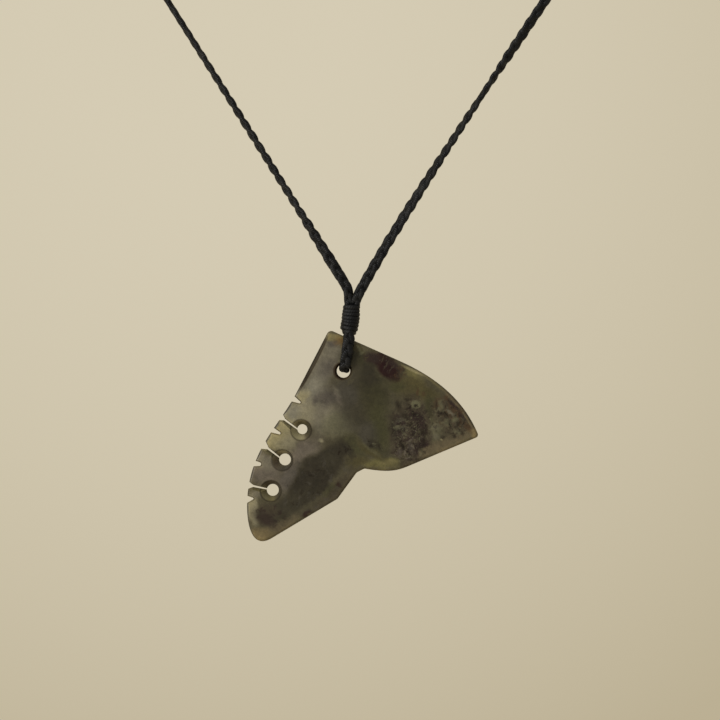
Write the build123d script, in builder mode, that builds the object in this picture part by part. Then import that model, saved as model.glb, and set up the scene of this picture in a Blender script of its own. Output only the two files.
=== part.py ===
"""Greenstone whale tail pendant on a plaited cord, as it hangs from the back of the neck loop.

Millimetres, +Z up, the carved face towards -Y. The origin is the inside of the loop's top, where the
necklace hangs: the underside of the join. The stone hangs from its bore, leaning on the whipping.
"""

import os
from math import atan2, cos, pi, radians, sin, sqrt, tan

from build123d import *

# Carved stone
tail_width = 55.0
tail_height = 50.0
tail_thickness = 3.2
edge_round = 0.6
stem_corner_round = 1.1
fluke_tip_round = 0.8
crotch_round = 0.8
knee_round = 1.2

# Flat plaited cord, and the thread that is bound round it
cord_width = 2.4
cord_thickness = 1.2
thread_thickness = 0.8

# Bore that the cord passes through
bore_clearance = 0.4
bore_rim_width = 0.5
bore_cone_angle = 58.0

# Keyholes, their sawn slots and the nicks along the stone's left edge
keyhole_rim_radius = 2.5
slot_root_gap = 0.2
slot_mouth_gap = 0.45
slot_upper_flare_angle = 27.0
slot_lower_flare_angle = 33.0
slot_upper_bevel = 0.2
slot_lower_bevel_root = 1.25
slot_lower_bevel_mouth = 0.55
nick_reach = 4.0
nick_bevel_angle = 10.0

# Loop of cord through the bore
loop_crown_clearance = 0.3
loop_leg_clearance = 0.7
loop_end_clearance = 0.3
loop_taper_length = 2.0

# Whipping
whipping_length = 7.4
whipping_edge_width = 0.25
whipping_end_round = 0.5
whipping_taper_length = 2.6
whipping_waist = 0.3
whipping_clearance = 0.15

# Neck loop: how far each leg leans out and how high above the whipping it turns
left_fork_lean = 0.5
left_fork_rise = 3.3
right_fork_lean = 0.05
right_fork_rise = 2.0
legs_clearance = 0.1

# Join behind the neck
join_length = 24.0
join_diameter = 4.4
join_end_round = 0.8
join_lead = 8.0

# How the stone hangs
bore_x = -3.0
bore_drop = 206.2
hang_lean = 7.3

# How far the cuts into the stone run past its faces, as a share of its half thickness
cut_overrun = 0.3

# The share of the shorter run beside a bend that the bend's arc takes up
bend_share = 0.45

# Outline of the stone, from the bore's axis: shares of its width (across) and of its height (up)
stem_corner = (-0.062, 0.197)
shoulder = (0.237, 0.051)
fluke_tip = (0.586, -0.311)
fluke_underside = (0.286, -0.450)
crotch_high = (0.090, -0.464)
crotch_low = (0.057, -0.483)
knee = (-0.026, -0.608)
heel = (-0.310, -0.795)
flank_low = (-0.417, -0.643)
stem_foot = (-0.206, -0.109)

# How far each curve of the outline holds the direction of its two ends: shares of the stone's height
back_pulls = (0.189, 0.194)
belly_pulls = (0.060, 0.124)
toe_pulls = (0.110, 0.090)
flank_pulls = (0.260, 0.170)
tip_slope = -68.3
crotch_slope = 170.0

# Keyholes, drilled by hand, so that their rims are off their throats' centres: share across, share up,
# throat radius, shift of the rim across and up as shares of its radius
keyholes = [
    (-0.178, -0.277, 1.18, -0.09, -0.08),
    (-0.253, -0.421, 1.40, -0.22, -0.05),
    (-0.306, -0.566, 1.42, -0.18, -0.08),
]

# Slot of each keyhole: direction in degrees, and how far below the keyhole's centre it runs as a share of
# the rim's radius. It is straight, then flares, and is cut past the stone's edge: shares of the stone's width.
slots = [(143.5, 0.27), (142.2, 0.17), (168.2, 0.02)]
slot_straight = 0.087
slot_reach = 0.145

# Nicks: share across and share up of the tip, direction of the mouth, spread of its sides, round of its tip
nicks = [
    (-0.1864, -0.1513, 152.0, 29.0, 0.24),
    (-0.2731, -0.2980, 156.0, 22.0, 0.27),
    (-0.3568, -0.4444, 172.0, 22.0, 0.46),
    (-0.3897, -0.6070, 186.0, 50.0, 0.25),
]

# Corners of each leg's route as X and Z, from above the whipping round to the join
left_route = [(-32.3, -137.9), (-63.8, -88.2), (-67.2, -55.6), (-56.5, -26.2), (-34.8, -3.8)]
right_route = [(9.5, -172.2), (30.0, -140.3), (64.9, -88.4), (68.2, -55.8), (56.8, -26.0), (34.8, -3.8)]

bore_axis_point = Vector(bore_x, 0, -bore_drop)
lean = radians(hang_lean)

# Local x across the stone, local y up, normal towards the viewer
tail_plane = Plane(origin=bore_axis_point, x_dir=(1, 0, 0), z_dir=(0, -1, 0))

# Local z up the line that the cord pulls along, local y away from the viewer
hang_plane = Plane(origin=bore_axis_point, x_dir=(cos(lean), 0, -sin(lean)), z_dir=(sin(lean), 0, cos(lean)))


def on_stone(share):
    """A point of the outline in the stone's plane."""
    across, up = share
    return Vector(across * tail_width, up * tail_height)


def curve_points(start, leaving, end, arriving, pulls):
    """Control points of a curve that leaves start and arrives at end in the two directions given."""
    first_pull, last_pull = pulls
    return [
        start,
        start + leaving.normalized() * first_pull * tail_height,
        end - arriving.normalized() * last_pull * tail_height,
        end,
    ]


def heading(degrees_up):
    """The direction at an angle above the stone's level."""
    return Vector(1, 0).rotate(Axis.Z, degrees_up)


def bend_radii(corners):
    """The largest arc that the two runs beside each corner of a cord leave room for."""
    radii = []
    for before, corner, after in zip(corners, corners[1:], corners[2:]):
        arriving = corner - before
        leaving = after - corner
        turn = radians(arriving.get_angle(leaving))
        radii.append(bend_share * min(arriving.length, leaving.length) / tan(turn / 2))
    return radii


def hole_mouth(share, side):
    """The plane of a hole's mouth on the front face (side 1) or the back face (side -1)."""
    centre = tail_plane.from_local_coords(on_stone(share))
    return Plane(
        origin=centre + Vector(0, -side * tail_thickness / 2, 0),
        x_dir=(side, 0, 0),
        z_dir=(0, -side, 0),
    )


def plane_towards(share, direction):
    """The stone's middle plane, moved to a point of it and turned so that local x has that direction."""
    return Plane(
        origin=tail_plane.from_local_coords(on_stone(share)),
        x_dir=tail_plane.from_local_coords(heading(direction)) - tail_plane.origin,
        z_dir=tail_plane.z_dir,
    )


def slot_outline(shift, depth_share):
    """Corners of a slot's cut, from beside the keyhole's centre outwards, at a share of the half thickness."""
    straight = slot_straight * tail_width
    reach = slot_reach * tail_width
    upper_flare = (reach - straight) * tan(radians(slot_upper_flare_angle))
    lower_flare = (reach - straight) * tan(radians(slot_lower_flare_angle))
    upper_root = shift - slot_root_gap / 2 - slot_upper_bevel * depth_share
    upper_mouth = shift - slot_mouth_gap / 2 - slot_upper_bevel * depth_share
    lower_root = shift + slot_root_gap / 2 + slot_lower_bevel_root * depth_share
    lower_mouth = shift + slot_mouth_gap / 2 + slot_lower_bevel_mouth * depth_share
    return [
        (0, upper_root),
        (straight, upper_mouth),
        (reach, upper_mouth - upper_flare),
        (reach, shift + slot_mouth_gap / 2 + lower_flare),
        (straight, lower_mouth),
        (0, lower_root),
    ]


# The stone: a flat plate with softened rims, then its bore, keyholes and nicks
bore_radius = cord_width / 2 + bore_clearance
with BuildPart() as whale_tail:
    with BuildSketch(tail_plane) as tail_outline:
        with BuildLine():
            top_edge = Line(on_stone(stem_corner), on_stone(shoulder))
            Bezier(*curve_points(top_edge @ 1, top_edge % 1, on_stone(fluke_tip), heading(tip_slope), back_pulls))
            underside = Line(on_stone(fluke_tip), on_stone(fluke_underside))
            belly_end = on_stone(crotch_high)
            Bezier(*curve_points(underside @ 1, underside % 1, belly_end, heading(crotch_slope), belly_pulls))
            Polyline(on_stone(crotch_high), on_stone(crotch_low), on_stone(knee))
            lower_edge = Line(on_stone(knee), on_stone(heel))
            Bezier(*curve_points(lower_edge @ 1, lower_edge % 1, on_stone(flank_low), heading(90), toe_pulls))
            stem_edge = Line(on_stone(stem_foot), on_stone(stem_corner))
            Bezier(*curve_points(on_stone(flank_low), heading(90), stem_edge @ 0, stem_edge % 0, flank_pulls))
        make_face()
        rounded_corners = [
            (stem_corner, stem_corner_round),
            (fluke_tip, fluke_tip_round),
            (crotch_high, crotch_round),
            (crotch_low, crotch_round),
            (knee, knee_round),
        ]
        for share, radius in rounded_corners:
            fillet(tail_outline.vertices().sort_by_distance(on_stone(share))[0], radius)
    extrude(amount=tail_thickness / 2, both=True)
    faces = whale_tail.faces().sort_by(Axis.Y)
    fillet(faces[0].edges() + faces[-1].edges(), edge_round)

    # The bore is countersunk from both faces
    for side in (1, -1):
        with Locations(hole_mouth((0, 0), side)):
            CounterSinkHole(bore_radius, bore_radius + bore_rim_width, counter_sink_angle=bore_cone_angle)

    # Each keyhole is a cone from each face that meets the other at a round throat, and its slot is filed open
    # towards both faces
    for (across, up, throat_radius, rim_across, rim_up), (direction, slot_shift) in zip(keyholes, slots):
        throat = on_stone((across, up))
        rim_shift = Vector(rim_across, rim_up) * keyhole_rim_radius
        slot_plane = plane_towards((across, up), direction)
        for side in (1, -1):
            for depth_share in (0, 1 + cut_overrun):
                with BuildSketch(tail_plane.offset(side * depth_share * tail_thickness / 2)):
                    with Locations(throat + rim_shift * depth_share):
                        Circle(throat_radius + (keyhole_rim_radius - throat_radius) * depth_share)
            loft(mode=Mode.SUBTRACT)
            for depth_share in (0, 1 + cut_overrun):
                with BuildSketch(slot_plane.offset(side * depth_share * tail_thickness / 2)):
                    with BuildLine():
                        Polyline(*slot_outline(slot_shift * keyhole_rim_radius, depth_share), close=True)
                    make_face()
            loft(mode=Mode.SUBTRACT)

    # Each nick is a round-tipped groove that opens outwards and is bevelled towards both faces
    for across, up, direction, spread, tip_round in nicks:
        half_mouth = tip_round + (nick_reach - tip_round) * tan(radians(spread / 2))
        with BuildSketch(plane_towards((across, up), direction)):
            with Locations((tip_round, 0)):
                Circle(tip_round)
            with BuildLine():
                Polyline(
                    (tip_round, -tip_round),
                    (nick_reach, -half_mouth),
                    (nick_reach, half_mouth),
                    (tip_round, tip_round),
                    close=True,
                )
            make_face()
        extrude(
            amount=(1 + cut_overrun) * tail_thickness / 2,
            both=True,
            taper=-nick_bevel_angle,
            mode=Mode.SUBTRACT,
        )
whale_tail.part.label = "whale_tail"

# The two legs of the loop pass close to the stone's faces, and above its edge they lean together
loop_leg_spread = tail_thickness / 2 + loop_leg_clearance + cord_thickness / 2
loop_end_spread = tail_thickness / 2 + loop_end_clearance
loop_crown_height = bore_radius - loop_crown_clearance - cord_thickness / 2

# The whipping's lower corner stands clear of the stone's top edge, which is tilted to the cord's pull
cord_round_diameter = sqrt(cord_width * cord_thickness)
whipping_width = cord_width + 2 * thread_thickness
whipping_low_depth = 2 * (loop_end_spread + cord_thickness / 2 + whipping_edge_width)
whipping_top_depth = cord_round_diameter + 2 * thread_thickness
top_edge_run = on_stone(shoulder) - on_stone(stem_corner)
top_edge_distance = on_stone(stem_corner).cross(top_edge_run).length / top_edge_run.length
top_edge_tilt = atan2(-top_edge_run.Y, top_edge_run.X) - lean
corner_reach = top_edge_distance + whipping_clearance + whipping_width / 2 * sin(top_edge_tilt)
whipping_start = corner_reach / cos(top_edge_tilt)
whipping_end = whipping_start + whipping_length

# The whipping: the thread and the two legs that it grips, deep below where they straddle the stone and
# shallow above where they lie side by side
whipping_sections = [
    (whipping_start, whipping_low_depth),
    (whipping_start + whipping_taper_length, (whipping_low_depth + whipping_top_depth) / 2 - whipping_waist),
    (whipping_end, whipping_top_depth),
]
with BuildPart() as whipping:
    for height, depth in whipping_sections:
        with BuildSketch(hang_plane.offset(height)):
            Ellipse(whipping_width / 2, depth / 2)
    loft()
    fillet(whipping.faces().filter_by(GeomType.PLANE).edges(), whipping_end_round)
whipping.part.label = "whipping"

# The stretch of flat cord through the bore, cut off level with the whipping's lower end
loop_shoulder_height = whipping_start - loop_taper_length
loop_taper = (loop_end_spread - loop_leg_spread) / loop_taper_length
loop_half = [
    (loop_leg_spread, loop_crown_height),
    (loop_leg_spread, loop_shoulder_height),
    (loop_end_spread + loop_taper * cord_thickness, whipping_start + cord_thickness),
]
loop_points = [(-spread, height) for spread, height in reversed(loop_half)] + loop_half
loop_corners = [hang_plane.from_local_coords(Vector(0, spread, height)) for spread, height in loop_points]
with BuildPart() as stone_loop:
    with BuildLine():
        loop_path = FilletPolyline(*loop_corners, radius=bend_radii(loop_corners))
    with BuildSketch(Plane(origin=loop_path @ 0, x_dir=hang_plane.x_dir, z_dir=loop_path % 0)):
        Ellipse(cord_width / 2, cord_thickness / 2)
    sweep(path=loop_path)
    split(bisect_by=hang_plane.offset(whipping_start), keep=Keep.BOTTOM)
stone_loop.part.label = "stone_loop"

# The join behind the neck, where both ends of the cord are bound together
join_centre = Vector(0, 0, join_diameter / 2)
with BuildPart() as neck_join:
    with BuildSketch(Plane(origin=join_centre, z_dir=(1, 0, 0))):
        Circle(join_diameter / 2)
    extrude(amount=join_length / 2, both=True)
    fillet(neck_join.edges().filter_by(GeomType.CIRCLE), join_end_round)
neck_join.part.label = "neck_join"


def leg_corners(side, fork_lean, fork_rise, route):
    """A leg's corners from inside the whipping to the join: side -1 is the left leg, 1 the right."""
    exit_point = Vector(side * (cord_round_diameter + legs_clearance) / 2, 0, whipping_end)
    fork_run = Vector(side * fork_lean, 0, fork_rise)
    join_end = join_centre + Vector(side * join_length / 2)
    return [
        hang_plane.from_local_coords(exit_point - fork_run.normalized() * cord_round_diameter / 2),
        hang_plane.from_local_coords(exit_point + fork_run),
        *(Vector(x, 0, z) for x, z in route),
        join_end + Vector(side * join_lead),
        join_end,
    ]


# The two legs of the neck loop, round with the flat cord's section, cut off level with the whipping's top
neck_legs = [
    ("neck_cord_left", leg_corners(-1, left_fork_lean, left_fork_rise, left_route)),
    ("neck_cord_right", leg_corners(1, right_fork_lean, right_fork_rise, right_route)),
]
os.makedirs("parts", exist_ok=True)
for name, corners in neck_legs:
    radii = bend_radii(corners)
    with BuildPart() as neck_cord:
        with BuildLine():
            leg_path = FilletPolyline(*corners, radius=radii)
        with BuildSketch(Plane(origin=leg_path @ 0, z_dir=leg_path % 0)):
            Circle(cord_round_diameter / 2)
        sweep(path=leg_path)
        split(bisect_by=hang_plane.offset(whipping_end), keep=Keep.TOP)
    neck_cord.part.label = name
    export_step(neck_cord.part, f"parts/{name}.step")
    filled = neck_cord.part.volume / (leg_path.length * pi * cord_round_diameter**2 / 4)
    print(name, "length", round(leg_path.length, 1), "radii", [round(r, 1) for r in radii], "filled", filled)

print("stone_loop length", round(loop_path.length, 1), "radii", [round(r, 2) for r in bend_radii(loop_corners)])

export_step(whale_tail.part, "parts/whale_tail.step")
export_step(whipping.part, "parts/whipping.step")
export_step(stone_loop.part, "parts/stone_loop.step")
export_step(neck_join.part, "parts/neck_join.step")
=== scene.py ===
"""The looks of a greenstone whale tail pendant that hangs from a plaited cord.

Metres, +Z up, the carved face towards -Y. The stone keeps its own solid; the plaited cord, the whipping
above the stone and the join behind the neck are made here as the threads that they really are.
"""

import math

import bpy
import numpy as np
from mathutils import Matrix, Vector


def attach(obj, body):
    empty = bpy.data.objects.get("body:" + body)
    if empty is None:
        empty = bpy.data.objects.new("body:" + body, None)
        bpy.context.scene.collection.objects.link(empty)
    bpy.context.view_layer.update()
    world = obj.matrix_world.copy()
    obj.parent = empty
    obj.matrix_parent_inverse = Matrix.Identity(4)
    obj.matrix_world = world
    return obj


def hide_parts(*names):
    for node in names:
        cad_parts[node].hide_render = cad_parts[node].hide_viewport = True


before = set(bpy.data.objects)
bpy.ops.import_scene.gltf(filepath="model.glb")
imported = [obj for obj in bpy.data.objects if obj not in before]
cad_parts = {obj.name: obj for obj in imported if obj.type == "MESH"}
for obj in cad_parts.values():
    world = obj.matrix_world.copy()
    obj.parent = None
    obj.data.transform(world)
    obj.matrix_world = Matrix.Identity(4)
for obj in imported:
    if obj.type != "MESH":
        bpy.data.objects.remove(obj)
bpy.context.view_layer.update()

# The camera looks straight at the carved face from far off, as the photograph does. Its picture is 720
# pixels wide, at 4.2 pixels for each millimetre, and the bore's middle lies at the pixel given here.
mm = 0.001
picture_pixels = 720
pixels_per_mm = 4.2
bore_pixel = (343.5, 371.0)
camera_distance = 900 * mm
camera_near_limit = 50 * mm
sensor_width = 36.0
bore_axis = Vector((-3.0, 0, -206.2)) * mm
picture_centre = bore_axis + Vector((
    picture_pixels / 2 - bore_pixel[0], 0, bore_pixel[1] - picture_pixels / 2
)) * mm / pixels_per_mm
camera = bpy.data.objects.new("camera", bpy.data.cameras.new("camera"))
camera.data.sensor_width = sensor_width
camera.data.lens = sensor_width * camera_distance / (picture_pixels / pixels_per_mm * mm)
camera.location = picture_centre - Vector((0, camera_distance, 0))
camera.rotation_euler = (math.pi / 2, 0, 0)
camera.data.clip_start = camera_near_limit
bpy.context.scene.collection.objects.link(camera)
bpy.context.scene.camera = camera
bpy.context.scene.view_settings.view_transform = "Standard"


# The neck cord is one flat plait of three waxed cotton strands, about 51 cm long. It leaves the join's left
# end, runs down into the whipping, through the stone's bore and the whipping again, and up to the join's
# right end. The plait turns about itself along both legs, so it shows now its face and now its edge.
strand_count = 3
strand_sides = 10
plait_lay = 9.5 * mm
plait_step = 0.30 * mm
plait_seed = 11
route_resolution = 24
hang_lean = math.radians(7.3)
hang_across = Vector((math.cos(hang_lean), 0, -math.sin(hang_lean)))
hang_up = Vector((math.sin(hang_lean), 0, math.cos(hang_lean)))
join_half_length = 12.0 * mm
join_radius = 2.2 * mm


def on_pull(across, depth, up):
    """A point in millimetres from the bore's axis: across the cord's pull, away from the viewer and up it."""
    return bore_axis + hang_across * across * mm + Vector((0, depth, 0)) * mm + hang_up * up * mm


def leg_points(corners):
    """Corners of a neck leg, given as X and Z in metres."""
    return [Vector((x, 0, z)) for x, z in corners]


left_leg = leg_points([
    (-0.0120, 0.0022), (-0.0200, 0.0022), (-0.0348, -0.0038), (-0.0565, -0.0262), (-0.0672, -0.0556),
    (-0.0638, -0.0882), (-0.0323, -0.1379), (-0.0036, -0.1839),
])
right_leg = leg_points([
    (0.0095, -0.1722), (0.0300, -0.1403), (0.0649, -0.0884), (0.0682, -0.0558), (0.0568, -0.0260),
    (0.0348, -0.0038), (0.0200, 0.0022), (0.0120, 0.0022),
])

# In the bore the loop's middle runs this many millimetres above the axis, because the stone hangs on it
loop_rise = 0.42
stone_turn = [
    on_pull(-1.3, 0.2, 19.4), on_pull(-0.8, 0.2, 16.4), on_pull(0.25, -1.9, 8.8), on_pull(0.35, -2.9, 6.8),
    on_pull(0.2, -2.9, loop_rise), on_pull(0.1, 2.9, loop_rise), on_pull(0, 2.9, 6.8), on_pull(0, 1.9, 8.8),
    on_pull(0.8, -0.2, 16.4), on_pull(1.1, -0.2, 18.6),
]
route = left_leg + stone_turn + right_leg

route_curve = bpy.data.curves.new("cord_route", "CURVE")
route_curve.dimensions = "3D"
route_curve.resolution_u = route_resolution
spline = route_curve.splines.new("NURBS")
spline.points.add(len(route) - 1)
for point, corner in zip(spline.points, route):
    point.co = (*corner, 1)
spline.order_u = 3
spline.use_endpoint_u = True
route_object = bpy.data.objects.new("cord_route", route_curve)
route_mesh = bpy.data.meshes.new_from_object(route_object)
route_line = np.array([v.co for v in route_mesh.vertices])
bpy.data.meshes.remove(route_mesh)
bpy.data.objects.remove(route_object)
bpy.data.curves.remove(route_curve)

along = np.concatenate([[0], np.cumsum(np.linalg.norm(np.diff(route_line, axis=0), axis=1))])
cord_length = float(along[-1])
stations = np.linspace(0, cord_length, int(cord_length / plait_step) + 1)
cord_line = np.stack([np.interp(stations, along, route_line[:, axis]) for axis in range(3)], axis=1)


def unit(vectors):
    """The vectors at length one."""
    return vectors / np.linalg.norm(vectors, axis=-1, keepdims=True)


def carried_frames(line, start_index, start_across):
    """Across and through directions along a line, carried from one station with the least turning."""
    tangent = unit(np.gradient(line, axis=0))
    across = np.zeros_like(line)
    across[start_index] = start_across
    for order in (range(start_index + 1, len(line)), range(start_index - 1, -1, -1)):
        before = start_index
        for i in order:
            carried = across[before] - (across[before] @ tangent[i]) * tangent[i]
            across[i] = carried / np.linalg.norm(carried)
            before = i
    return across, np.cross(tangent, across)


bore_middle = np.array(on_pull(0, 0, loop_rise))
bore_station = int(np.argmin(np.linalg.norm(cord_line - bore_middle, axis=1)))
carried_across, carried_through = carried_frames(cord_line, bore_station, np.array(hang_across))

# Distance from the bore along the cord in millimetres, and how far the plait has turned there in degrees
left_twist = [
    (0, 0), (24, 0), (29, 12), (33, 38), (39.5, 57), (43, 70), (62, 72), (72, 78), (92, 88), (120, 100),
    (250, 240),
]
right_twist = [
    (0, 0), (19, 0), (23, -10), (27, -24), (40, -33), (46, -40), (52, -50), (60, -64), (72, -74), (78, -100),
    (83, -116), (87, -138), (100, -160), (150, -200), (250, -270),
]
from_bore = (stations - stations[bore_station]) / mm
twist = np.radians(np.where(
    from_bore < 0,
    np.interp(-from_bore, *zip(*left_twist)),
    np.interp(from_bore, *zip(*right_twist)),
))[:, None]
flat_across = carried_across * np.cos(twist) + carried_through * np.sin(twist)
flat_through = carried_through * np.cos(twist) - carried_across * np.sin(twist)

# The plait is fullest just below the whipping, a little narrower in the bore, and pressed small inside the
# whipping. At distances from the bore: the strands' swing from side to side and from face to face, and their
# own half sizes, all in millimetres.
plait_sizes = [
    (0, 0.58, 0.30, 0.76, 0.58),
    (2.5, 0.64, 0.32, 0.78, 0.58),
    (9, 0.72, 0.30, 0.84, 0.56),
    (11, 0.46, 0.24, 0.58, 0.40),
    (15, 0.46, 0.24, 0.58, 0.40),
    (17.5, 0.52, 0.26, 0.68, 0.50),
    (21, 0.58, 0.26, 0.72, 0.52),
    (30, 0.64, 0.26, 0.78, 0.54),
    (50, 0.56, 0.20, 0.76, 0.58),
]
distance, *columns = zip(*plait_sizes)
swing, lift, half_width, half_thickness = (
    np.interp(abs(from_bore), distance, column) * mm for column in columns
)

# Hand plaiting is uneven: the pull on the strands wanders a little every few millimetres
unevenness = np.random.default_rng(plait_seed)


def wandering(size, spacing):
    """Smooth random values along the cord, each a spacing from the next."""
    knots = np.arange(0, cord_length + 2 * spacing, spacing)
    return np.interp(stations, knots, unevenness.uniform(-size, size, len(knots)))


lay_count = stations / plait_lay + wandering(size=0.05, spacing=14 * mm)
strand_pull = [1 + wandering(size=0.09, spacing=6 * mm) for k in range(strand_count)]


def tube(centre_line, side_a, side_b, half_a, half_b, sides, first_index):
    """Rings of a closed tube as vertices, faces and (around, along in millimetres) for each face corner."""
    count = len(centre_line)
    angles = np.arange(sides) * 2 * math.pi / sides
    half_a = np.broadcast_to(half_a, count)[:, None, None]
    half_b = np.broadcast_to(half_b, count)[:, None, None]
    rings = (
        centre_line[:, None, :]
        + half_a * np.cos(angles)[None, :, None] * side_a[:, None, :]
        + half_b * np.sin(angles)[None, :, None] * side_b[:, None, :]
    )
    run = np.concatenate([[0], np.cumsum(np.linalg.norm(np.diff(centre_line, axis=0), axis=1))]) / mm
    faces, corners = [], []
    for i in range(count - 1):
        for j in range(sides):
            k = (j + 1) % sides
            ring, after = first_index + i * sides, first_index + (i + 1) * sides
            faces.append((ring + j, ring + k, after + k, after + j))
            corners += [(j / sides, run[i]), ((j + 1) / sides, run[i]),
                        ((j + 1) / sides, run[i + 1]), (j / sides, run[i + 1])]
    first_cap = tuple(first_index + j for j in reversed(range(sides)))
    last_cap = tuple(first_index + (count - 1) * sides + j for j in range(sides))
    faces += [first_cap, last_cap]
    corners += [(0, run[0])] * sides + [(0, run[-1])] * sides
    return rings.reshape(-1, 3), faces, corners


def thread_mesh(name, tubes):
    """One smooth mesh object of several tubes, with their (around, along) kept as the UV layer "thread"."""
    vertices, faces, corners = [], [], []
    for shape in tubes:
        rings, own_faces, own_corners = tube(*shape, first_index=sum(len(points) for points in vertices))
        vertices.append(rings)
        faces += own_faces
        corners += own_corners
    mesh = bpy.data.meshes.new(name)
    mesh.from_pydata(np.concatenate(vertices).tolist(), [], faces)
    layer = mesh.uv_layers.new(name="thread")
    layer.data.foreach_set("uv", np.array(corners, np.float32).ravel())
    mesh.polygons.foreach_set("use_smooth", [True] * len(mesh.polygons))
    mesh.update()
    made = bpy.data.objects.new(name, mesh)
    bpy.context.scene.collection.objects.link(made)
    return made


# A tight plait turns its strands sharply at its sides, which keeps its edges nearly straight
edge_dwell = 0.15
strands = []
for k in range(strand_count):
    phase = 2 * math.pi * (lay_count + k / strand_count)
    aside = (swing * strand_pull[k] * (np.sin(phase) + edge_dwell * np.sin(3 * phase)))[:, None]
    above = (lift * (np.sin(2 * phase) + edge_dwell * np.sin(6 * phase)))[:, None]
    centre_line = cord_line + aside * flat_across + above * flat_through
    strand_tangent = unit(np.gradient(centre_line, axis=0))
    side_a = unit(flat_across - (flat_across * strand_tangent).sum(1, keepdims=True) * strand_tangent)
    side_b = np.cross(strand_tangent, side_a)
    strands.append((centre_line, side_a, side_b, half_width, half_thickness, strand_sides))
plaited_cord = thread_mesh("plaited_cord", strands)


def new_material(name, colour, roughness, gloss=0.5):
    """A node material, and its tree and shader."""
    material = bpy.data.materials.new(name)
    material.use_nodes = True
    tree = material.node_tree
    shader = tree.nodes["Principled BSDF"]
    shader.inputs["Base Color"].default_value = (*colour, 1)
    shader.inputs["Roughness"].default_value = roughness
    shader.inputs["Specular IOR Level"].default_value = gloss
    return material, tree, shader


def add_node(tree, kind, inputs=None, **settings):
    """A new node with its settings and its unlinked or linked inputs."""
    node = tree.nodes.new(kind)
    for key, value in settings.items():
        setattr(node, key, value)
    for key, value in (inputs or {}).items():
        if isinstance(value, bpy.types.NodeSocket):
            tree.links.new(value, node.inputs[key])
        else:
            node.inputs[key].default_value = value
    return node


def maths(tree, operation, *values, clamp=False):
    """The outcome of one sum on numbers or sockets."""
    node = add_node(tree, "ShaderNodeMath", dict(enumerate(values)), operation=operation, use_clamp=clamp)
    return node.outputs[0]


def ramp(tree, value, start, end, low=0.0, high=1.0, interpolation="LINEAR"):
    """A value mapped so that start gives low and end gives high, and held there outside them."""
    node = add_node(tree, "ShaderNodeMapRange", {
        0: value, 1: start, 2: end, 3: low, 4: high,
    }, interpolation_type=interpolation)
    return node.outputs[0]


def mixed(tree, share, below, above, blend="MIX"):
    """Two colours mixed by a share."""
    node = add_node(tree, "ShaderNodeMix", {0: share, 6: below, 7: above}, data_type="RGBA", blend_type=blend)
    return node.outputs[2]


# Waxed cotton thread of either kind: how many fibres start round it, how fine its fluff and its wear are for
# each metre, how near a neighbour must be for painted shade to darken the crevice between them, and the
# blackest painted shade there
fibre_starts = 3.0
fluff_fineness = 1500.0
wear_fineness = 420.0
crevice_reach = 0.9 * mm
painted_crevice_shade = (0.0012, 0.0012, 0.0012, 1)


def waxed_thread_material(name, colour, worn_colour, roughness, gloss, fibre_pitch, fibre_depth):
    """Waxed black cotton of fine twisted fibres, paler where the wax has worn, and blackest in crevices by
    painted shade.
    """
    material, tree, shader = new_material(name, colour, roughness, gloss)
    uv = add_node(tree, "ShaderNodeUVMap", uv_map="thread")
    place = add_node(tree, "ShaderNodeTexCoord").outputs["Object"]
    thread_place = add_node(tree, "ShaderNodeSeparateXYZ", {0: uv.outputs[0]}).outputs
    turned = maths(tree, "MULTIPLY", thread_place[0], fibre_starts)
    fibre_count = maths(tree, "MULTIPLY_ADD", thread_place[1], mm / fibre_pitch, turned)
    fibres = maths(tree, "SINE", maths(tree, "MULTIPLY", fibre_count, 2 * math.pi))
    fluff = add_node(tree, "ShaderNodeTexNoise", {"Vector": place, "Scale": fluff_fineness, "Detail": 4.0})
    height = maths(tree, "MULTIPLY_ADD", fibres, 0.5, fluff.outputs[0])
    bump = add_node(tree, "ShaderNodeBump", {"Height": height, "Strength": 0.6, "Distance": fibre_depth})
    wear = add_node(tree, "ShaderNodeTexNoise", {"Vector": place, "Scale": wear_fineness, "Detail": 4.0})
    worn = ramp(tree, wear.outputs[0], 0.45, 0.75)
    wax_colour = mixed(tree, worn, (*colour, 1), (*worn_colour, 1))
    # Painted shade: the colour goes to near black where a neighbouring strand is close
    nook = add_node(tree, "ShaderNodeAmbientOcclusion", {"Distance": crevice_reach}, samples=6)
    open_share = ramp(tree, nook.outputs["AO"], 0.55, 1.0)
    shaded = mixed(tree, open_share, painted_crevice_shade, wax_colour)
    rough = ramp(tree, wear.outputs[0], 0.0, 1.0, roughness - 0.08, roughness + 0.14)
    tree.links.new(shaded, shader.inputs["Base Color"])
    tree.links.new(rough, shader.inputs["Roughness"])
    tree.links.new(bump.outputs[0], shader.inputs["Normal"])
    return material


plaited_cord.data.materials.append(waxed_thread_material(
    "waxed_cotton_plait", colour=(0.0060, 0.0060, 0.0060), worn_colour=(0.022, 0.022, 0.020),
    roughness=0.40, gloss=0.16, fibre_pitch=0.42 * mm, fibre_depth=0.13 * mm,
))


# The whipping is waxed thread bound tightly round both legs of the cord in close turns. It is deep below,
# where the legs straddle the stone, and its lowest turns have slipped and slant down to the right. Each turn
# bulges and slips by a little of its own, and the first starts a quarter of the way round, at the back.
thread_pitch = 0.92 * mm
thread_half_thickness = 0.36 * mm
thread_half_width = 0.57 * mm
thread_bulge = 0.07 * mm
thread_slip = 0.10 * mm
thread_sides = 8
steps_per_turn = 44
start_turn = 0.25
core_sides = 20
core_rings = 9
whipping_start = 8.45 * mm
whipping_length = 7.80 * mm

# At shares of the whipping's length: half its width and depth, how far it is off the pull's line, all in
# millimetres, and how much its turns slant down to the right
whipping_sections = [
    (0, 1.40, 2.60, 0.02, 0.10),
    (0.07, 1.76, 2.74, 0.02, 0.14),
    (0.16, 2.16, 2.68, 0.02, 0.14),
    (0.45, 2.20, 2.30, 0.12, 0.08),
    (0.80, 2.14, 1.75, 0.04, 0),
    (1, 2.06, 1.66, -0.06, 0),
]


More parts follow.
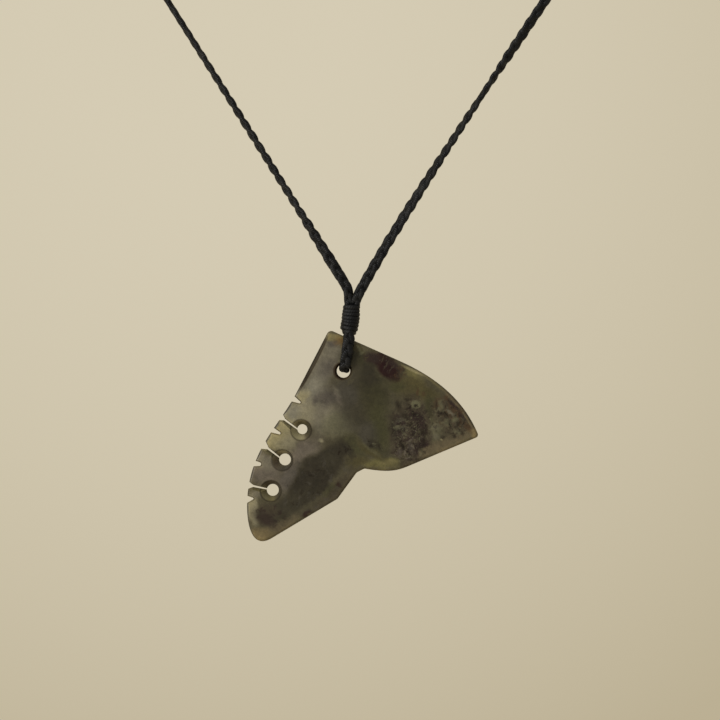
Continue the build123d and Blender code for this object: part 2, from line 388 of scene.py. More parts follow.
def wound_thread(base, out_x, out_y, up, length, sections):
    """Tubes of a thread bound through a table of sections from base upwards, and of the core inside it."""
    share_at, *columns = zip(*sections)
    turns = round(length / thread_pitch)
    share = np.linspace(0, 1, turns * steps_per_turn + 1)
    wide, deep, aside, slant = (np.interp(share, share_at, column) for column in columns)
    angle = (share * turns + start_turn) * 2 * math.pi
    knots = np.linspace(0, 1, 2 * turns + 1)
    bulge, slip = (
        np.interp(share, knots, unevenness.uniform(-reach, reach, len(knots)))
        for reach in (thread_bulge, thread_slip)
    )
    x = (wide * mm + bulge - thread_half_thickness) * np.cos(angle)
    y = (deep * mm + bulge - thread_half_thickness) * np.sin(angle)
    height = thread_half_width + share * (length - 2 * thread_half_width) - slant * x + slip
    x = x + aside * mm
    centre_line = np.array(base) + x[:, None] * out_x + y[:, None] * out_y + height[:, None] * up
    run = unit(np.gradient(centre_line, axis=0))
    outward = unit(np.cos(angle)[:, None] * out_x + np.sin(angle)[:, None] * out_y)
    outward = unit(outward - (outward * run).sum(1, keepdims=True) * run)
    thread = (
        centre_line, outward, np.cross(run, outward), thread_half_thickness, thread_half_width, thread_sides,
    )
    core_share = np.linspace(0.1, 0.9, core_rings)
    wide, deep, aside = (np.interp(core_share, share_at, column) * mm for column in columns[:3])
    core_line = np.array(base) + aside[:, None] * out_x + (core_share * length)[:, None] * up
    ones = np.ones((core_rings, 1))
    core = (
        core_line, ones * out_x, ones * out_y,
        wide - thread_half_thickness, deep - thread_half_thickness, core_sides,
    )
    return [thread, core]


binding_material = waxed_thread_material(
    "waxed_binding_thread", colour=(0.0070, 0.0070, 0.0070), worn_colour=(0.018, 0.018, 0.017),
    roughness=0.46, gloss=0.15, fibre_pitch=0.5 * mm, fibre_depth=0.07 * mm,
)
whipping = thread_mesh("bound_whipping", wound_thread(
    bore_axis + hang_up * whipping_start, np.array(hang_across), np.array((0, 1.0, 0)), np.array(hang_up),
    whipping_length, whipping_sections,
))
whipping.data.materials.append(binding_material)
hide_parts("whipping")
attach(whipping, "necklace_cord")


# The join behind the neck is the same thread, bound over the two ends of the cord where they overlap. Its
# end turns are drawn in a little.
join_sections = [
    (0, 1.85, 1.85, 0, 0),
    (0.04, 2.10, 2.10, 0, 0),
    (0.10, 2.20, 2.20, 0, 0),
    (0.90, 2.20, 2.20, 0, 0),
    (0.96, 2.10, 2.10, 0, 0),
    (1, 1.85, 1.85, 0, 0),
]
neck_join = thread_mesh("bound_neck_join", wound_thread(
    Vector((-join_half_length, 0, join_radius)), np.array((0, 1.0, 0)), np.array((0, 0, 1.0)),
    np.array((1.0, 0, 0)), 2 * join_half_length, join_sections,
))
neck_join.data.materials.append(binding_material)
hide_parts("neck_join")
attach(neck_join, "necklace_cord")

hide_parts("neck_cord_left", "neck_cord_right", "stone_loop")
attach(plaited_cord, "necklace_cord")


# The stone is one flat plate of greenstone, sawn, ground and polished by hand to a soft sheen. Its figure is
# cloudy: khaki and violet grey towards the notched edge, dark olive by the bore and deep in the left fluke,
# maroon along the top, and brown and pale flecks in the right fluke. Light comes through near its edges.

# Tones of the finished stone as the eye sees them: red, green and blue out of 255
stone_tones = {
    "ground": (74, 69, 53),
    "butter": (140, 131, 98),
    "pale_khaki": (124, 117, 93),
    "mist": (105, 99, 83),
    "sage": (93, 90, 68),
    "dove": (97, 89, 77),
    "dusk": (83, 77, 68),
    "slate": (67, 63, 54),
    "shadow": (58, 54, 43),
    "bottle": (57, 54, 39),
    "moss": (63, 61, 42),
    "olive": (74, 68, 45),
    "belly_olive": (96, 90, 58),
    "straw": (110, 101, 70),
    "taupe": (93, 83, 63),
    "umber": (66, 59, 47),
    "purple_brown": (52, 43, 38),
    "aubergine": (45, 36, 34),
    "maroon": (41, 28, 27),
    "charcoal": (51, 47, 38),
    "cream": (160, 150, 112),
    "pearl": (117, 112, 96),
    "bark": (52, 41, 31),
    "ink": (38, 33, 27),
    "rust": (70, 55, 40),
    "amber": (104, 82, 46),
    "honey": (112, 98, 69),
}

# The studio's light on the face and the polish's own sheen, which a seen tone holds besides the base colour,
# and the darkest that any base colour may be
face_light = (0.90, 0.89, 0.87)
face_sheen = 0.009
darkest_base = 0.001

# Clouds in the stone, charted one by one: tone, place across and up from the bore, half length and half
# height in millimetres, tilt in degrees anticlockwise, softness of the rim and strength
# Some pale clouds at the tips and thin edges are painted light, for light that comes through the stone there
stone_clouds = [
    ("mist", -4.5, 2.0, 6.5, 3.0, 62, 0.7, 0.9),
    ("pearl", -8.0, -5.5, 5.5, 2.8, 62, 0.8, 0.9),
    ("mist", -5.5, -10.5, 5.5, 3.6, -20, 0.8, 0.95),
    ("pale_khaki", -11.5, -10.5, 4.2, 3.2, 25, 0.7, 0.8),
    ("butter", -9.6, -5.8, 1.6, 1.0, 60, 0.9, 0.7),
    ("butter", -15.5, -15.2, 3.6, 2.4, 40, 0.7, 0.75),
    ("pale_khaki", -13.2, -17.0, 2.6, 1.6, 30, 0.8, 0.8),
    ("sage", -1.5, -13.0, 3.6, 2.4, 0, 0.8, 0.7),
    ("dove", -9.4, -18.8, 4.4, 2.4, 35, 0.7, 0.9),
    ("dove", -19.0, -23.6, 3.4, 3.4, -20, 0.6, 0.9),
    ("mist", -18.9, -21.9, 2.0, 1.6, 0, 0.8, 0.95),
    ("dusk", -13.6, -25.2, 4.4, 2.0, 50, 0.7, 0.9),
    ("dusk", -4.0, 0.6, 2.2, 1.8, 0, 0.9, 0.8),
    ("dusk", -3.6, -6.0, 3.2, 2.4, 20, 0.8, 0.9),
    ("slate", 1.0, -5.5, 2.8, 4.4, 0, 0.8, 0.95),
    ("slate", 1.4, -13.0, 2.4, 1.8, 0, 0.9, 0.5),
    ("shadow", 3.6, -10.5, 3.4, 3.4, 0, 0.9, 0.8),
    ("shadow", 5.0, -2.0, 3.0, 3.6, 0, 0.8, 0.9),
    ("bottle", 7.4, -6.0, 3.0, 7.0, 0, 0.8, 0.95),
    ("moss", 8.8, -14.0, 2.4, 6.0, 5, 0.8, 0.9),
    ("moss", 2.6, -17.6, 3.4, 2.2, -10, 0.8, 0.9),
    ("slate", 5.4, -15.0, 2.4, 2.6, 0, 0.8, 0.8),
    ("straw", -2.9, 8.4, 2.2, 1.1, -20, 0.6, 0.95),
    ("dusk", -2.4, 6.6, 1.3, 1.0, 0, 0.8, 0.9),
    ("amber", -1.0, 6.9, 1.5, 0.8, -60, 1.0, 0.8),
    ("bottle", 4.0, 3.2, 3.4, 1.8, -25, 0.7, 0.8),
    ("olive", 3.0, 5.6, 2.2, 0.8, -25, 0.8, 0.7),
    ("charcoal", 6.6, -1.4, 1.9, 1.8, 0, 0.8, 0.8),
    ("olive", 15.2, -3.6, 4.4, 2.6, -25, 0.7, 0.8),
    ("moss", 12.4, -3.6, 1.8, 1.6, 0, 0.8, 0.8),
    ("olive", 19.0, -4.6, 4.6, 1.8, -32, 0.7, 0.9),
    ("belly_olive", 16.2, -0.8, 2.8, 0.8, -26, 0.8, 0.7),
    ("moss", 20.8, -8.6, 1.5, 3.6, 5, 0.6, 0.9),
    ("umber", 25.8, -10.8, 5.4, 4.2, -45, 0.6, 0.9),
    ("umber", 16.0, -15.0, 4.9, 8.4, 4, 0.35, 0.95),
    ("aubergine", 17.6, -12.0, 3.4, 1.2, -55, 0.6, 0.85),
    ("aubergine", 17.8, -18.8, 1.5, 1.1, 30, 0.7, 0.8),
    ("slate", 13.6, -12.6, 1.4, 2.4, 0, 0.8, 0.8),
    ("charcoal", 11.9, -13.0, 0.6, 3.2, 0, 0.8, 0.8),
    ("sage", 22.2, -14.0, 1.5, 2.6, 0, 0.8, 0.55),
    ("taupe", 24.5, -17.2, 5.4, 1.3, 21, 0.7, 0.8),
    ("taupe", 19.8, -19.4, 1.6, 0.9, 21, 0.7, 0.9),
    ("honey", 30.6, -14.7, 1.0, 1.3, 25, 0.8, 0.7),
    ("rust", 26.8, -8.9, 1.6, 0.7, -45, 0.8, 0.8),
    ("rust", 24.4, -6.6, 1.2, 0.5, -45, 0.8, 0.7),
    ("rust", 29.6, -13.0, 0.6, 1.4, 15, 0.8, 0.8),
    ("maroon", 9.4, 2.4, 3.4, 1.9, -28, 0.6, 0.9),
    ("maroon", 11.2, -0.1, 2.3, 1.7, -35, 0.6, 0.95),
    ("purple_brown", 7.0, 3.2, 2.2, 1.4, -28, 0.6, 0.9),
    ("purple_brown", 12.4, 1.0, 1.6, 0.7, -40, 0.7, 0.8),
    ("charcoal", 6.4, 0.9, 1.6, 1.0, -20, 0.8, 0.8),
    ("belly_olive", 9.0, -22.2, 4.6, 1.2, 0, 0.7, 0.95),
    ("straw", 10.4, -22.2, 2.0, 0.7, 0, 0.8, 0.6),
    ("olive", 7.0, -19.4, 4.6, 0.9, -38, 0.7, 0.8),
    ("sage", 7.0, -19.0, 3.2, 0.4, -42, 0.9, 0.35),
    ("olive", 3.2, -21.4, 2.4, 1.4, 20, 0.8, 0.8),
    ("charcoal", 7.6, -17.2, 2.0, 0.9, -42, 0.7, 0.8),
    ("charcoal", -6.2, -24.4, 9.6, 3.8, 45, 0.45, 1.0),
    ("charcoal", -9.6, -28.6, 5.4, 2.6, 30, 0.5, 0.95),
    ("shadow", -3.2, -20.6, 2.6, 2.0, 40, 0.8, 0.8),
    ("charcoal", -0.2, -19.2, 2.6, 1.5, -20, 0.7, 0.9),
    ("shadow", -13.4, -31.8, 6.8, 2.6, 28, 0.7, 0.95),
    ("taupe", -14.8, -36.7, 4.2, 1.0, 30, 0.8, 0.7),
    ("moss", -3.0, -28.6, 2.4, 1.4, 40, 0.8, 0.8),
    ("slate", -3.6, -31.0, 3.6, 0.8, 30, 0.8, 0.7),
    ("umber", 0.2, -26.2, 1.2, 3.2, -32, 0.8, 0.65),
    ("umber", -3.6, -30.2, 3.4, 1.2, 31, 0.8, 0.7),
    ("pearl", -11.6, -9.9, 2.2, 1.6, 55, 0.7, 0.8),
    ("pale_khaki", -21.6, -32.6, 1.2, 3.4, 5, 0.7, 0.95),
    ("mist", -21.0, -29.0, 1.4, 1.2, 0, 0.7, 0.8),
    ("purple_brown", -18.6, -35.4, 2.6, 1.4, -40, 0.8, 0.85),
    ("umber", -17.6, -33.2, 2.0, 1.2, -20, 0.8, 0.7),
    ("honey", -19.8, -39.0, 2.6, 1.3, -15, 0.9, 0.7),
    ("maroon", -8.4, -33.6, 1.4, 0.5, 28, 0.8, 0.8),
    ("maroon", -0.8, -27.4, 0.7, 0.5, 60, 0.8, 0.7),
]

# Small sharp marks: veins, streaks and spots, with the same columns
stone_marks = [
    ("pale_khaki", -5.3, -16.5, 0.6, 0.5, 0, 0.7, 0.8),
    ("mist", -1.6, -4.9, 1.3, 0.5, -55, 0.9, 0.45),
    ("dove", -1.2, -6.6, 1.6, 0.5, -60, 0.9, 0.5),
    ("mist", -3.4, 4.0, 1.6, 0.4, 75, 0.9, 0.7),
    ("ground", 1.6, -2.6, 1.6, 0.4, 40, 0.8, 0.7),
    ("sage", 3.6, 5.4, 0.8, 0.35, -60, 0.7, 0.8),
    ("sage", 4.4, 4.3, 0.7, 0.3, 40, 0.7, 0.7),
    ("sage", 17.2, -7.9, 1.1, 0.9, 0, 0.5, 0.95),
    ("ink", 17.2, -8.2, 0.5, 0.42, 0, 0.6, 0.9),
    ("mist", 25.4, -9.9, 0.9, 0.35, -30, 0.9, 0.7),
    ("sage", 23.1, -8.0, 0.5, 1.0, 20, 0.9, 0.7),
    ("sage", 26.5, -11.6, 0.8, 0.5, 20, 0.9, 0.7),
    ("sage", 24.5, -12.2, 0.6, 0.9, 10, 0.9, 0.6),
    ("sage", 27.0, -14.4, 0.9, 0.4, -30, 0.9, 0.6),
    ("ink", 25.3, -12.9, 0.3, 0.8, 10, 0.9, 0.7),
    ("ink", 27.3, -12.6, 0.9, 0.3, 45, 0.9, 0.7),
    ("ink", 28.3, -14.9, 0.4, 0.6, 20, 0.9, 0.7),
    ("ink", 26.5, -15.4, 0.35, 0.6, -10, 0.9, 0.7),
    ("aubergine", 26.0, -8.0, 1.4, 0.35, -45, 0.9, 0.8),
    ("aubergine", 28.0, -10.4, 1.3, 0.3, -50, 0.9, 0.7),
    ("ink", 14.0, -17.8, 0.3, 0.9, 10, 0.8, 0.8),
    ("ink", 15.6, -18.7, 0.8, 0.3, 55, 0.8, 0.8),
    ("ink", 19.2, -16.9, 0.5, 0.9, 20, 0.9, 0.7),
    ("dove", 15.9, -16.5, 0.8, 0.2, 35, 0.8, 0.6),
    ("dove", 16.5, -18.0, 0.2, 0.6, 25, 0.8, 0.6),
    ("dove", 14.6, -19.5, 0.2, 0.6, 0, 0.8, 0.6),
    ("dove", 15.3, -20.7, 0.5, 0.2, 30, 0.8, 0.6),
    ("sage", 12.7, -13.2, 0.8, 0.2, 20, 0.8, 0.5),
    ("sage", 14.5, -14.9, 0.6, 0.25, -30, 0.8, 0.6),
    ("mist", 21.9, -13.4, 1.0, 0.7, 10, 0.9, 0.2),
    ("mist", 22.0, -15.6, 0.9, 0.6, -10, 0.9, 0.3),
    ("butter", 23.4, -16.3, 0.3, 0.2, 0, 0.7, 0.6),
    ("aubergine", 19.7, -17.5, 0.8, 0.4, 20, 0.9, 0.8),
    ("dusk", -6.7, -6.9, 0.6, 1.1, -15, 0.9, 0.8),
    ("umber", 10.2, 1.5, 1.1, 0.15, 60, 0.8, 0.7),
    ("umber", 11.4, 0.6, 0.9, 0.13, 55, 0.8, 0.7),
    ("umber", 9.2, 2.6, 0.9, 0.13, 65, 0.8, 0.7),
    ("ink", 24.0, -10.2, 1.1, 0.4, -25, 0.9, 0.7),
    ("ink", 22.1, -8.0, 0.25, 1.0, 0, 0.9, 0.5),
    ("ink", 13.0, -8.2, 0.6, 1.2, 15, 0.9, 0.7),
    ("ink", 14.6, -10.6, 1.0, 0.6, -30, 0.9, 0.7),
    ("ink", 15.2, -6.8, 0.8, 0.3, -10, 0.7, 0.6),
    ("ink", 19.0, -14.6, 1.2, 0.7, -10, 0.9, 0.7),
    ("ink", 13.4, -14.3, 0.9, 0.4, -30, 0.9, 0.6),
    ("ink", 13.6, -17.2, 0.7, 0.5, 60, 0.9, 0.6),
    ("ink", 18.4, -18.0, 1.2, 0.6, 50, 0.9, 0.6),
    ("ink", 23.6, -15.8, 0.5, 0.35, 0, 0.9, 0.6),
    ("sage", 13.2, -13.4, 1.1, 0.4, 10, 0.9, 0.3),
    ("dusk", 16.0, -18.2, 0.5, 1.2, 20, 0.9, 0.4),
    ("dusk", 13.4, -19.4, 0.6, 1.0, 0, 0.9, 0.4),
    ("rust", 17.6, -4.9, 0.35, 0.8, 0, 0.8, 0.7),
    ("rust", 19.0, -5.4, 0.5, 0.6, 0, 0.8, 0.6),
]

# Flecked ground: tone, place and half sizes as above, tilt, how fine the flecks are (per millimetre), the
# share of the noise that they start at, and strength
stone_flecks = [
    ("purple_brown", 16.2, -14.8, 4.8, 8.0, 4, 0.55, 0.47, 0.85),
    ("ink", 16.0, -14.6, 4.8, 8.0, 4, 0.85, 0.53, 0.85),
    ("sage", 15.4, -16.0, 4.4, 7.0, 4, 1.2, 0.56, 0.7),
    ("ink", 16.0, -15.4, 4.2, 6.6, 4, 2.2, 0.52, 0.8),
    ("sage", 15.4, -14.6, 4.2, 6.6, 4, 2.3, 0.56, 0.8),
    ("dove", 15.6, -17.4, 3.8, 4.2, 4, 2.8, 0.56, 0.8),
    ("ink", 26.4, -11.6, 4.2, 3.8, -40, 2.0, 0.53, 0.7),
    ("sage", 25.8, -12.2, 4.4, 3.8, -40, 2.4, 0.57, 0.6),
    ("rust", 25.8, -9.8, 4.8, 3.6, -45, 0.9, 0.50, 0.7),
    ("ink", 25.0, -11.0, 5.4, 4.4, -40, 0.85, 0.54, 0.75),
    ("sage", 23.6, -12.4, 4.6, 4.2, -30, 0.9, 0.55, 0.6),
    ("ink", -0.4, -19.2, 3.0, 2.0, -20, 1.2, 0.54, 0.8),
    ("ink", -8.0, -26.6, 9.0, 4.8, 40, 0.8, 0.56, 0.55),
    ("slate", -7.0, -27.0, 9.5, 5.4, 38, 0.6, 0.55, 0.6),
    ("purple_brown", -17.4, -34.4, 3.8, 2.6, -20, 0.9, 0.52, 0.8),
    ("ink", 7.6, -17.2, 2.4, 1.4, -42, 1.4, 0.54, 0.8),
    ("sage", 7.6, -17.0, 2.4, 1.4, -42, 1.3, 0.58, 0.6),
    ("olive", 4.0, 4.6, 2.6, 1.2, -25, 1.0, 0.52, 0.8),
    ("dusk", 9.8, 1.0, 3.6, 2.2, -28, 1.7, 0.60, 0.45),
    ("rust", 13.4, -0.5, 1.0, 1.6, -28, 1.1, 0.50, 0.7),
    ("slate", -2.0, -7.0, 3.4, 3.0, 0, 0.7, 0.52, 0.6),
]

stone_material, stone_tree, stone_shader = new_material(
    "greenstone", colour=(0.06, 0.05, 0.03), roughness=0.36, gloss=0.2,
)

# Half the depth of every oval, in millimetres: far more than the stone's, so that clouds go right through it
through_stone = 100.0


def place_from_bore():
    """The place in the stone in millimetres from the bore's axis."""
    rest = add_node(stone_tree, "ShaderNodeTexCoord").outputs["Object"]
    shifted = add_node(stone_tree, "ShaderNodeVectorMath", {0: rest, 1: bore_axis}, operation="SUBTRACT")
    return add_node(stone_tree, "ShaderNodeVectorMath", {0: shifted.outputs[0], "Scale": 1 / mm},
                    operation="SCALE").outputs[0]


def pushed_about(place, steps):
    """A place pushed about by noise, once for each fineness and reach."""
    pushed = place
    for fineness, reach in steps:
        noise = add_node(stone_tree, "ShaderNodeTexNoise", {
            "Vector": place, "Scale": fineness, "Detail": 3.0,
        })
        centred = add_node(stone_tree, "ShaderNodeVectorMath", {
            0: noise.outputs["Color"], 1: (0.5, 0.5, 0.5),
        }, operation="SUBTRACT")
        pushed = add_node(stone_tree, "ShaderNodeVectorMath", {
            0: centred.outputs[0], 1: (reach, reach, reach), 2: pushed,
        }, operation="MULTIPLY_ADD").outputs[0]
    return pushed


def distance_share(place, across, up, half_length, half_height, tilt):
    """One at the middle of an oval through the stone's whole thickness, and nothing at its rim."""
    local = add_node(stone_tree, "ShaderNodeMapping", {
        "Vector": place, "Location": (across, 0, up), "Rotation": (0, -math.radians(tilt), 0),
        "Scale": (half_length, through_stone, half_height),
    }, vector_type="TEXTURE")
    return add_node(stone_tree, "ShaderNodeTexGradient", {"Vector": local.outputs[0]},
                    gradient_type="SPHERICAL").outputs[1]


def oval_mask(place, across, up, half_length, half_height, tilt, softness):
    """A mask that is 1 in the middle of an oval and falls to half at its half length and half height."""
    spread = 1 / (1 - softness / 2)
    share = distance_share(place, across, up, half_length * spread, half_height * spread, tilt)
    return ramp(stone_tree, share, 0.0, softness, interpolation="SMOOTHSTEP")


def ring_mask(place, across, up, radius, width):
    """A mask that is 1 on a circle and falls to 0 at a width either side of it."""
    share = distance_share(place, across, up, 2 * radius, 2 * radius, 0)
    off_circle = maths(stone_tree, "ABSOLUTE", maths(stone_tree, "SUBTRACT", share, 0.5))
    return ramp(stone_tree, off_circle, 0.0, width / (2 * radius), 1.0, 0.0, "SMOOTHSTEP")


def scaled(mask, factor):
    """A mask times a number or another mask."""
    return maths(stone_tree, "MULTIPLY", mask, factor)


def tone(name):
    """The base colour, with alpha, that shows as a named tone of the stone in the studio's light."""
    seen = [((channel / 255 + 0.055) / 1.055) ** 2.4 for channel in stone_tones[name]]
    base = [max(darkest_base, (value - face_sheen) / light) for value, light in zip(seen, face_light)]
    return (*base, 1)


def painted(colour, place, chart):
    """A colour with the ovals of a chart laid over it, one after the other."""
    for name, *oval, strength in chart:
        colour = mixed(stone_tree, scaled(oval_mask(place, *oval), strength), colour, tone(name))
    return colour


place = place_from_bore()
cloud_place = pushed_about(place, [(0.16, 4.0), (0.55, 1.5), (2.0, 0.5)])
mark_place = pushed_about(place, [(1.2, 1.0), (4.0, 0.5)])
face_colour = painted(tone("ground"), cloud_place, stone_clouds)
for name, across, up, half_length, half_height, tilt, fineness, start, strength in stone_flecks:
    mask = oval_mask(cloud_place, across, up, half_length, half_height, tilt, softness=0.5)
    noise = add_node(stone_tree, "ShaderNodeTexNoise", {
        "Vector": cloud_place, "W": across + up, "Scale": fineness, "Detail": 4.0, "Roughness": 0.6,
    }, noise_dimensions="4D")
    flecks = ramp(stone_tree, noise.outputs[0], start, start + 0.10, interpolation="SMOOTHSTEP")
    face_colour = mixed(stone_tree, scaled(scaled(mask, flecks), strength), face_colour, tone(name))
face_colour = painted(face_colour, mark_place, stone_marks)

# Painted light: pale bands along the ground edge round the fluke's back, where light comes through the stone,
# with the clouds' columns
pale_edge_glows = [
    ("butter", 16.6, 0.1, 2.6, 0.35, -25, 0.7, 0.5),
    ("straw", 21.6, -2.8, 3.2, 0.3, -38, 0.7, 0.4),
    ("taupe", 26.0, -6.9, 3.2, 0.3, -47, 0.7, 0.6),
    ("taupe", 29.7, -11.9, 2.4, 0.25, -58, 0.7, 0.7),
]
face_colour = painted(face_colour, place, pale_edge_glows)

# Fine cloudiness all over, from broad smoke to grain: how fine it is and how deeply it shades
stone_smoke = [(0.35, 0.14), (1.1, 0.12), (4.0, 0.12)]
for fineness, depth in stone_smoke:
    noise = add_node(stone_tree, "ShaderNodeTexNoise", {"Vector": place, "Scale": fineness, "Detail": 4.0})
    shade = ramp(stone_tree, noise.outputs[0], 0.3, 0.7, 1 - depth, 1 + depth)
    grey = add_node(stone_tree, "ShaderNodeCombineColor", {i: shade for i in range(3)})
    face_colour = mixed(stone_tree, 1.0, face_colour, grey.outputs[0], "MULTIPLY")

# Painted light: the colour is paler near the edges, where light comes through the stone
glow_reach = 1.6 * mm
glow_strength = 0.8
glow_tint = (1.45, 1.42, 1.30, 1)
edge_glow = add_node(stone_tree, "ShaderNodeAmbientOcclusion", {"Distance": glow_reach}, samples=6,
                     inside=True, only_local=True)
glow_share = ramp(stone_tree, edge_glow.outputs["AO"], 0.98, 0.55, 0.0, glow_strength)
glowing_colour = mixed(stone_tree, 1.0, face_colour, glow_tint, "MULTIPLY")
stone_colour = mixed(stone_tree, glow_share, face_colour, glowing_colour)

# The sides of the cuts are painted paler than the face, as painted light, and painted dark where they face
# left, as painted shade. What turns away from both faces counts as a cut. Their tones, partly the stone's own
# and partly painted light and shade on the walls, have the clouds' columns.
cut_tones_and_shading = [
    ("butter", -13.2, -13.0, 2.8, 1.0, -37, 0.5, 1.0),
    ("cream", -11.3, -15.6, 1.9, 1.1, -20, 0.7, 1.0),
    ("olive", -8.4, -14.0, 0.9, 1.8, 0, 0.7, 0.7),
    ("olive", -9.6, -12.4, 1.6, 0.7, 0, 0.7, 0.8),
    ("butter", -17.8, -20.0, 2.4, 1.0, -37, 0.5, 0.8),
    ("rust", -16.2, -21.6, 0.9, 1.3, 10, 0.8, 0.7),
    ("butter", -14.4, -19.0, 1.6, 0.8, 0, 0.7, 0.7),
    ("slate", -13.6, -23.2, 2.0, 0.7, 10, 0.7, 0.8),
    ("straw", -19.6, -28.8, 2.6, 1.0, -14, 0.5, 1.0),
    ("straw", -17.9, -30.2, 2.0, 0.9, -30, 0.7, 0.9),
    ("umber", -17.3, -26.5, 1.6, 0.8, 10, 0.7, 0.8),
    ("butter", -19.2, -29.9, 1.2, 0.9, -20, 0.7, 0.55),
    ("rust", -1.7, 0.0, 0.8, 2.4, 0, 0.7, 0.95),
    ("straw", 1.2, -1.5, 1.2, 0.7, 40, 0.7, 0.8),
]
painted_cut_light = (1.40, 1.34, 1.20, 1)
left_shade = 0.8
face_squareness = 0.92
cut_squareness = 0.60
cut_colour = mixed(stone_tree, 1.0, face_colour, painted_cut_light, "MULTIPLY")
cut_colour = painted(cut_colour, place, cut_tones_and_shading)
normal = add_node(stone_tree, "ShaderNodeSeparateXYZ", {
    0: add_node(stone_tree, "ShaderNodeTexCoord").outputs["Normal"],
}).outputs
left_facing_shade = ramp(stone_tree, normal[0], -0.25, -0.75)
cut_colour = mixed(stone_tree, scaled(left_facing_shade, left_shade), cut_colour, tone("charcoal"))
squareness = maths(stone_tree, "ABSOLUTE", normal[1])
cut_mask = ramp(stone_tree, squareness, face_squareness, cut_squareness)
stone_colour = mixed(stone_tree, cut_mask, stone_colour, cut_colour)

# Painted shade: dark bands down the rounded edge of the notched side, with the clouds' columns. The stem's
# edge is still rough from the grindstone.
ground_edge = (-7.05, 1.9, 7.2, 0.54, 62.4, 0.3)
painted_edge_shade = [
    ("umber", *ground_edge, 0.95),
    ("charcoal", -7.55, 1.65, 7.4, 0.32, 62.4, 0.4, 0.9),
    ("ink", -9.0, -1.9, 2.2, 0.36, 62.4, 0.8, 0.5),
    ("shadow", -13.3, -9.0, 1.9, 0.34, 54, 0.5, 0.85),
    ("shadow", -15.9, -12.9, 1.2, 0.34, 54, 0.5, 0.8),
    ("shadow", -18.0, -16.1, 1.4, 0.30, 56, 0.5, 0.7),
    ("shadow", -20.2, -20.0, 1.3, 0.30, 62, 0.5, 0.7),
    ("shadow", -21.9, -24.4, 1.8, 0.30, 74, 0.5, 0.7),
    ("shadow", -22.8, -33.4, 2.4, 0.26, 88, 0.6, 0.7),
]
stone_colour = painted(stone_colour, place, painted_edge_shade)

# Painted shade: dark lines where the cones of the holes meet the faces, at places across and up from the bore
# in millimetres
cone_places = [(-10.1, -14.0), (-14.6, -21.2), (-17.3, -28.5)]
cone_radius = 2.5
cone_shade_width = 0.35
cone_shade_strength = 0.6
for across, up in cone_places:
    mask = ring_mask(place, across, up, cone_radius, cone_shade_width)
    stone_colour = mixed(stone_tree, scaled(mask, cone_shade_strength), stone_colour, tone("ink"))

# Painted shade: the bore's rim is dark brown, most of all on its left side
bore_rim_shade = [("bark", -0.28, 0.0, 2.2, 2.2, 0, 0.16, 0.85)]
stone_colour = painted(stone_colour, place, bore_rim_shade)
stone_tree.links.new(stone_colour, stone_shader.inputs["Base Color"])

# The polish is soft: a little uneven, with fine pits. The cuts are rougher, as the files left them, and so is
# the stem's ground edge.
polish_roughness = (0.28, 0.46)
filing_roughness = 0.3
grinding_roughness = 0.5
pit_depth = 0.12 * mm
polish = add_node(stone_tree, "ShaderNodeTexNoise", {"Vector": place, "Scale": 0.9, "Detail": 5.0})
polished = ramp(stone_tree, polish.outputs[0], 0.3, 0.7, *polish_roughness)
filed = maths(stone_tree, "MULTIPLY_ADD", cut_mask, filing_roughness, polished)
ground = maths(stone_tree, "MULTIPLY_ADD", oval_mask(place, *ground_edge), grinding_roughness, filed)
stone_tree.links.new(ground, stone_shader.inputs["Roughness"])
pits = add_node(stone_tree, "ShaderNodeTexNoise", {"Vector": place, "Scale": 3.0, "Detail": 5.0})
pitted = add_node(stone_tree, "ShaderNodeBump", {
    "Height": pits.outputs[0], "Strength": 0.25, "Distance": pit_depth,
})
stone_tree.links.new(pitted.outputs[0], stone_shader.inputs["Normal"])

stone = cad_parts["whale_tail"]
stone.data.materials.clear()
stone.data.materials.append(stone_material)


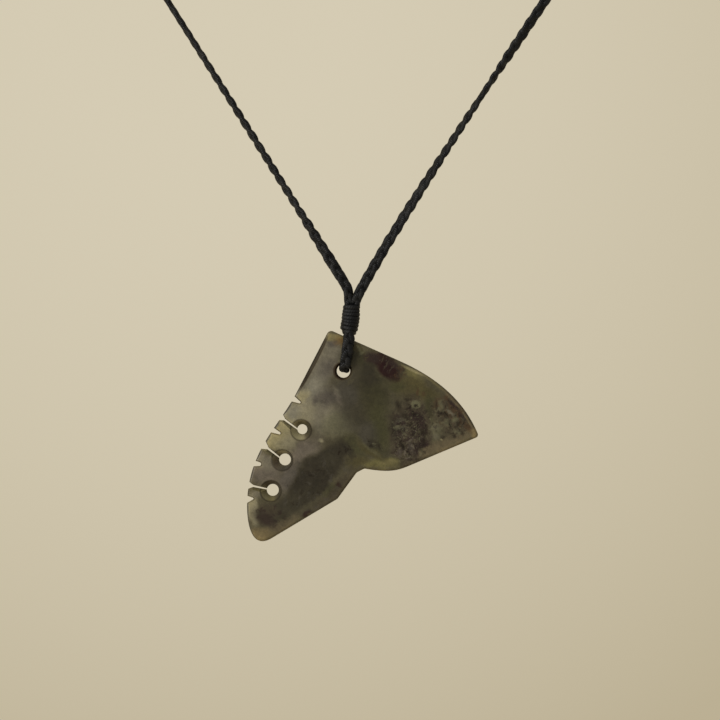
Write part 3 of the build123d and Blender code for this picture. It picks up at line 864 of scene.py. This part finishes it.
# A round pale floor lies well below the stone. The wall behind is pale beige, brightest in a soft pool of
# light above and left of the stone, and the studio in front is a neutral grey.
floor_radius = 450 * mm
floor_height = -360 * mm
floor_sides = 96
floor_angles = [i * 2 * math.pi / floor_sides for i in range(floor_sides)]
floor_rim = [(floor_radius * math.cos(a), floor_radius * math.sin(a), floor_height) for a in floor_angles]
floor_mesh = bpy.data.meshes.new("floor")
floor_mesh.from_pydata(floor_rim, [], [tuple(range(floor_sides))])
floor = bpy.data.objects.new("floor", floor_mesh)
bpy.context.scene.collection.objects.link(floor)
floor_mesh.materials.append(new_material("pale_floor", colour=(0.62, 0.56, 0.44), roughness=0.8)[0])

backdrop_lit = (0.665, 0.600, 0.455, 1)
backdrop_shaded = (0.500, 0.433, 0.296, 1)
studio_front = (0.43, 0.43, 0.43, 1)

# The pool of light: the direction of its middle, how strong it is there and how fast it fades
pool_middle = (-0.044, 0, 0.095)
pool_strength = 1.03
pool_fading = 19.7

world = bpy.data.worlds.new("studio")
bpy.context.scene.world = world
world.use_nodes = True
studio = world.node_tree
direction = add_node(studio, "ShaderNodeTexCoord").outputs["Generated"]
off_middle = add_node(studio, "ShaderNodeVectorMath", {
    0: direction, 1: (1, 0, 1), 2: [-value for value in pool_middle],
}, operation="MULTIPLY_ADD").outputs[0]
distance_squared = add_node(studio, "ShaderNodeVectorMath", {0: off_middle, 1: off_middle},
                            operation="DOT_PRODUCT").outputs["Value"]
lit_share = maths(studio, "MULTIPLY_ADD", distance_squared, -pool_fading, pool_strength, clamp=True)
backdrop = mixed(studio, lit_share, backdrop_shaded, backdrop_lit)
away = add_node(studio, "ShaderNodeSeparateXYZ", {0: direction}).outputs[1]
front_share = ramp(studio, away, 0.2, -0.3)
room = mixed(studio, front_share, backdrop, studio_front)
background = studio.nodes["Background"]
studio.links.new(room, background.inputs["Color"])
background.inputs["Strength"].default_value = 1.0

lamp_colour = (1.0, 0.98, 0.96)


def soft_light(name, place, size, power):
    """A square studio light at a place, turned towards the bore."""
    light = bpy.data.lights.new(name, "AREA")
    light.shape = "SQUARE"
    light.size = size
    light.energy = power
    light.color = lamp_colour
    made = bpy.data.objects.new(name, light)
    made.location = place
    made.rotation_euler = (bore_axis - Vector(place)).to_track_quat("-Z", "Y").to_euler()
    bpy.context.scene.collection.objects.link(made)
    return made


# One large light stands in front, to the left of the stone
soft_light("key_light", place=(-0.62, -0.52, 0.02), size=0.50, power=6.0)

# A light behind shows the stone's back, and makes no glints along the edges that the front view sees
back_light = soft_light("back_light", place=(0.32, 1.00, 0.00), size=0.24, power=5.0)
back_light.visible_glossy = False
